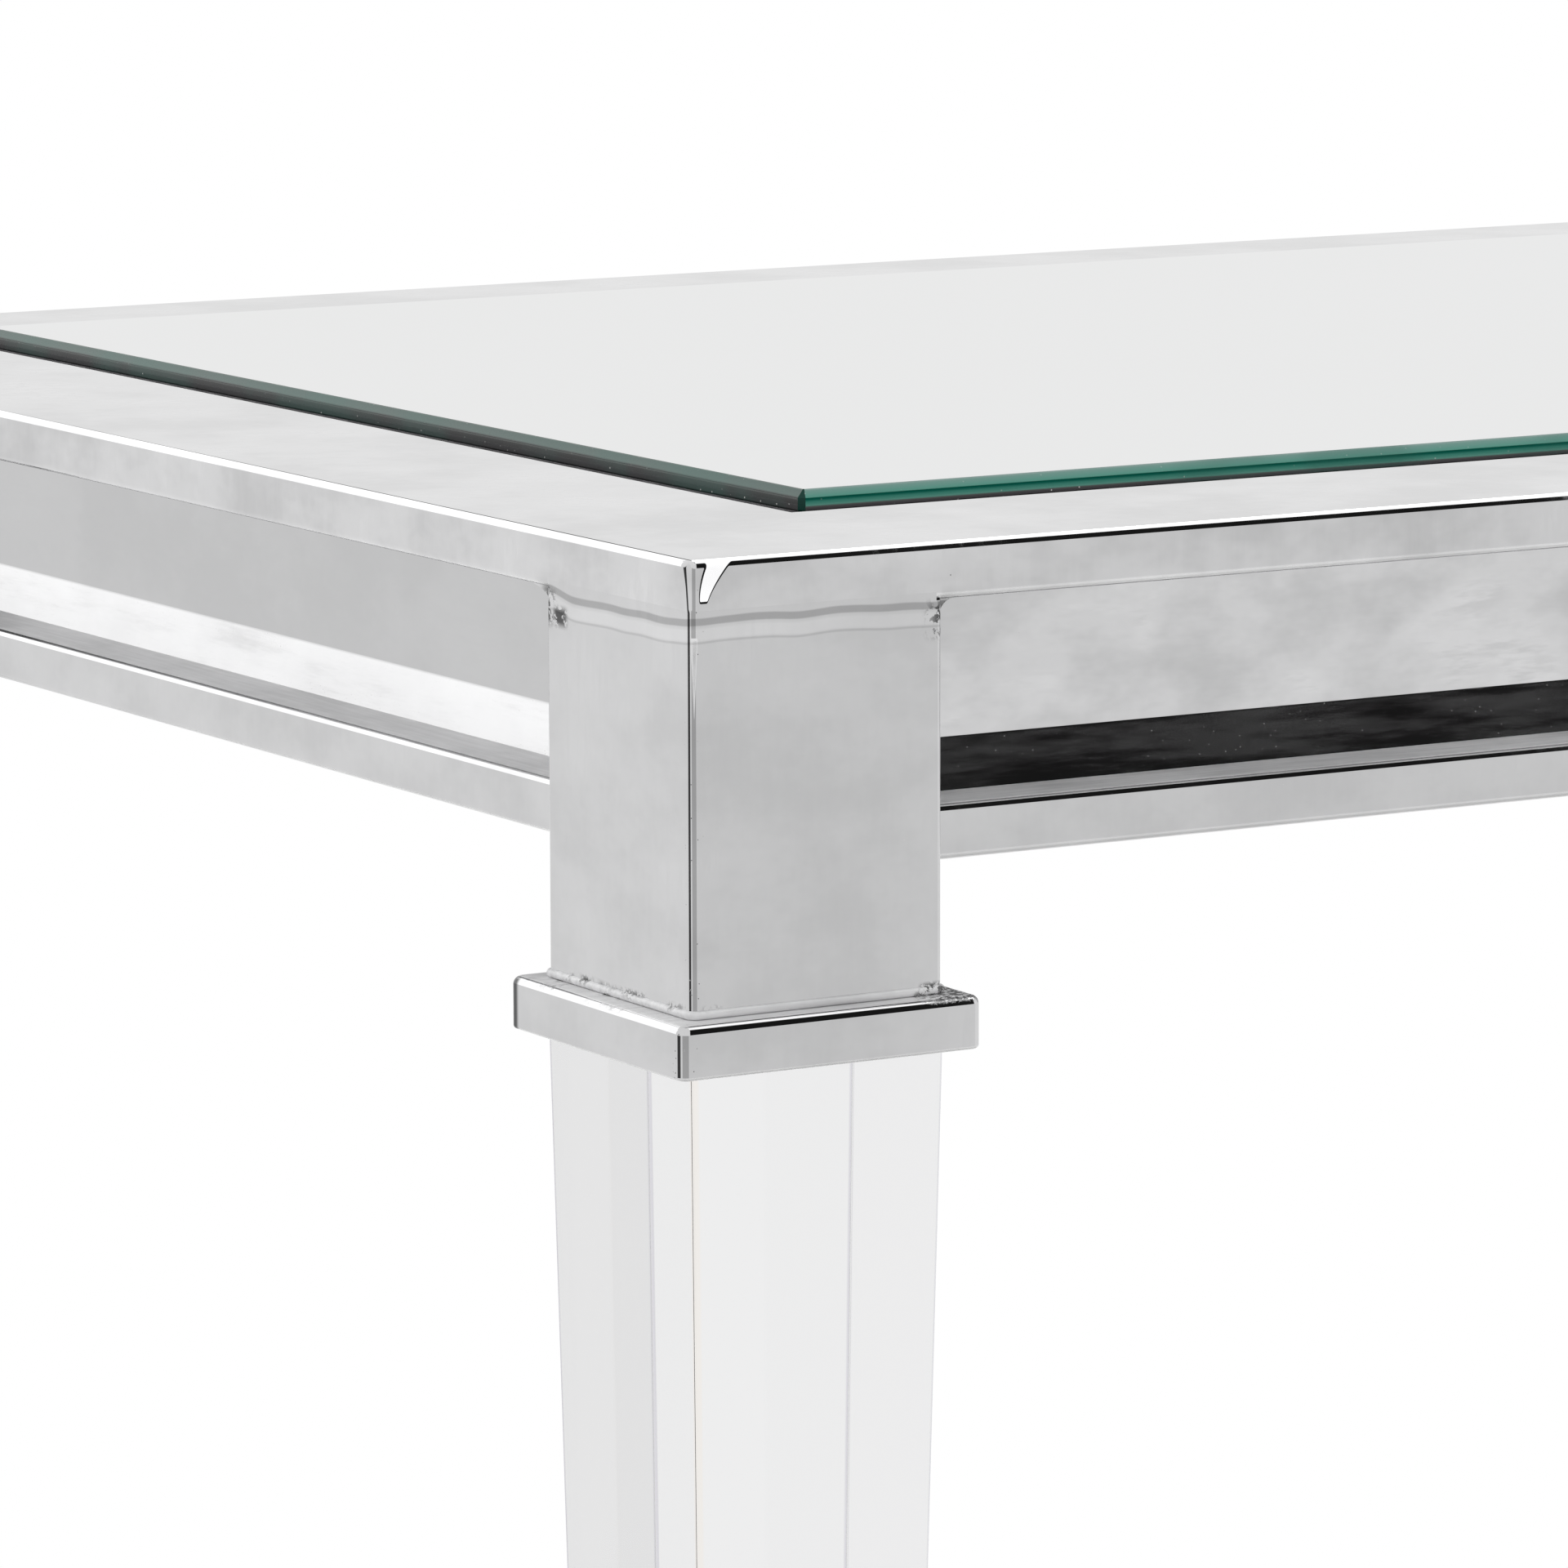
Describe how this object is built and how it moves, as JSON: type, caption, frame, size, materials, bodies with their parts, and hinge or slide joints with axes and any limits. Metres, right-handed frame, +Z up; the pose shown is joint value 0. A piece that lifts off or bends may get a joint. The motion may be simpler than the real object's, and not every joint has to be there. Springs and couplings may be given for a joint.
{
  "type": "console table",
  "caption": "Long narrow console table: polished steel tube frame with recessed apron, tapered clear acrylic legs under square collars, and a mirror pane set in the rim.",
  "frame": {"origin": "on the floor under the middle of the table", "axes": "+X along the table's length to the right, +Y to the back, +Z up"},
  "size_m": [1.41, 0.456, 0.76],
  "materials": {
    "polished_steel": "mirror polished stainless steel, hand finished",
    "mill_steel": "mill finish flat bar",
    "screw_steel": "stainless machine screw",
    "clear_acrylic": "polished clear acrylic",
    "nylon": "moulded white nylon",
    "float_glass": "green float glass with ground arrises",
    "silvering": "mirror silver with grey backing paint",
    "painted_board": "fibreboard painted black"
  },
  "bodies": {
    "table_frame": {"rim_front": "polished_steel", "apron_front": "polished_steel", "rail_front": "polished_steel", "rim_back": "polished_steel", "apron_back": "polished_steel", "rail_back": "polished_steel", "rim_left": "polished_steel", "apron_left": "polished_steel", "rail_left": "polished_steel", "rim_right": "polished_steel", "apron_right": "polished_steel", "rail_right": "polished_steel", "post_front_left": "polished_steel", "collar_front_left": "polished_steel", "leg_front_left": "clear_acrylic", "glide_front_left": "nylon", "post_front_right": "polished_steel", "collar_front_right": "polished_steel", "leg_front_right": "clear_acrylic", "glide_front_right": "nylon", "post_back_left": "polished_steel", "collar_back_left": "polished_steel", "leg_back_left": "clear_acrylic", "glide_back_left": "nylon", "post_back_right": "polished_steel", "collar_back_right": "polished_steel", "leg_back_right": "clear_acrylic", "glide_back_right": "nylon", "cross_bar_left": "mill_steel", "cross_bar_middle": "mill_steel", "cross_bar_right": "mill_steel", "corner_welds": "polished_steel", "collar_welds": "polished_steel", "leg_screws": "screw_steel"},
    "table_top": {"mirror_glass": "float_glass", "mirror_silvering": "silvering", "backing_board": "painted_board"}
  },
  "joints": [
    {"name": "top_lift", "type": "slide", "parent": "table_frame", "child": "table_top", "axis": [0, 0, 1], "range_m": [0, 0.1]}
  ]
}
